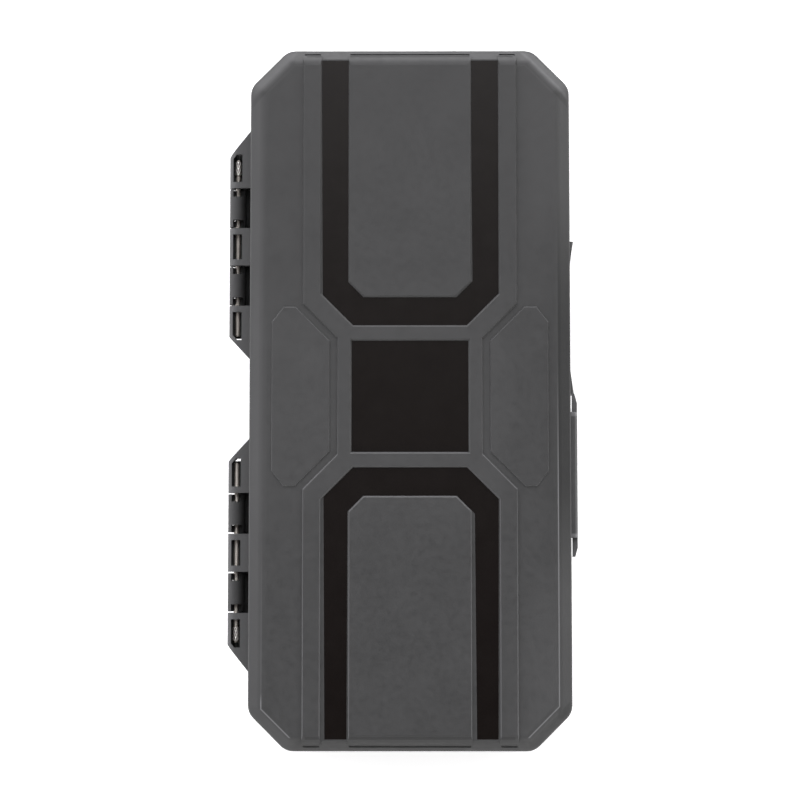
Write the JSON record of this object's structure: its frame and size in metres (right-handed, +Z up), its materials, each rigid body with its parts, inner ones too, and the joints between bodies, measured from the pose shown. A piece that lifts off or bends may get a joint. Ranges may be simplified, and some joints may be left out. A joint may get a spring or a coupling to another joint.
{
  "type": "hooklength box",
  "caption": "Slim hinged case for fishing hooklengths, with cut corners, a raised field on the lid, windowed pin hinges and a snap latch over peg boards.",
  "frame": {"origin": "centre of the flat underside of the closed case, on the surface it lies on", "axes": "+X across the case from the hinges to the latch, +Y along its length towards the magnetic strips, +Z up from the base to the lid"},
  "size_m": [0.1073, 0.212, 0.028],
  "materials": {
    "case_plastic": "fine matt moulded grain with gloss black inlays on the lid",
    "latch_plastic": "satin moulded",
    "pin_steel": "drawn wire with a knurled head",
    "board_plastic": "matt sheet",
    "magnet_strip": "matt flexible magnet",
    "rail_plastic": "satin moulded",
    "peg_steel": "polished wire",
    "screw_steel": "plain zinc"
  },
  "bodies": {
    "base": {"base_shell": "case_plastic", "latch_pin": "pin_steel", "base_peg_board": "board_plastic", "base_magnet_strip": "magnet_strip", "base_short_peg_rail": "rail_plastic", "base_short_pegs": "peg_steel", "base_long_peg_rail": "rail_plastic", "base_long_pegs": "peg_steel", "base_board_screws": "screw_steel"},
    "lid": {"lid_shell": "case_plastic", "upper_hinge_pin": "pin_steel", "lower_hinge_pin": "pin_steel", "lid_peg_board": "board_plastic", "lid_magnet_strip": "magnet_strip", "lid_short_peg_rail": "rail_plastic", "lid_short_pegs": "peg_steel", "lid_long_peg_rail": "rail_plastic", "lid_long_pegs": "peg_steel", "lid_board_screws": "screw_steel"},
    "latch": {"latch_clip": "latch_plastic"}
  },
  "joints": [
    {"name": "lid_hinge", "type": "hinge", "parent": "base", "child": "lid", "pos_m": [-0.053, 0, 0.014], "axis": [0, -1, 0], "range_deg": [0, 180]},
    {"name": "latch_hinge", "type": "hinge", "parent": "base", "child": "latch", "pos_m": [0.05, -0.0234, 0.0052], "axis": [0, 1, 0], "range_deg": [0, 90]}
  ]
}
